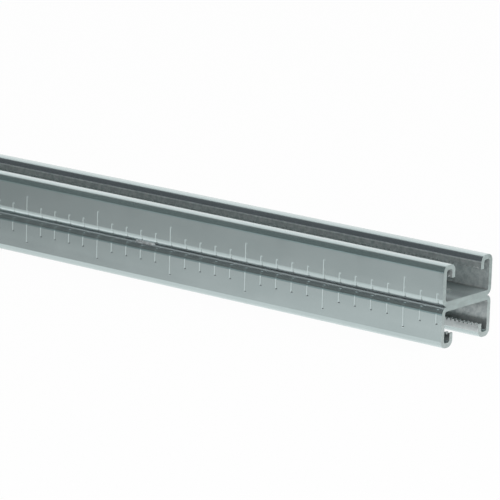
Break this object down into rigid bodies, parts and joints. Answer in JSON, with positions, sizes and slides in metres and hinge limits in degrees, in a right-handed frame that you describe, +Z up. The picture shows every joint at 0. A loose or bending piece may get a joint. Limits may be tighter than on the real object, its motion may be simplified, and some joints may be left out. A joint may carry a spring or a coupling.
{
  "type": "double strut channel",
  "caption": "Straight galvanised steel strut of lipped C-channels stitch-welded back to back, with slotted webs, open mouths and a scale of marks along the sides.",
  "frame": {"origin": "centre of the bounding box on the floor, under the middle of the bar", "axes": "+X along the bar towards the cut end seen in the picture, +Y across towards its hidden side, +Z up through the upper channel's mouth"},
  "size_m": [2, 0.041, 0.042],
  "materials": {
    "galvanised_steel": "dull galvanised, pale grey with faint mottling",
    "weld_metal": "grey weld bead under the zinc"
  },
  "bodies": {
    "root": {"upper_channel": "galvanised_steel", "lower_channel": "galvanised_steel", "weld_stitches": "weld_metal"}
  },
  "joints": []
}
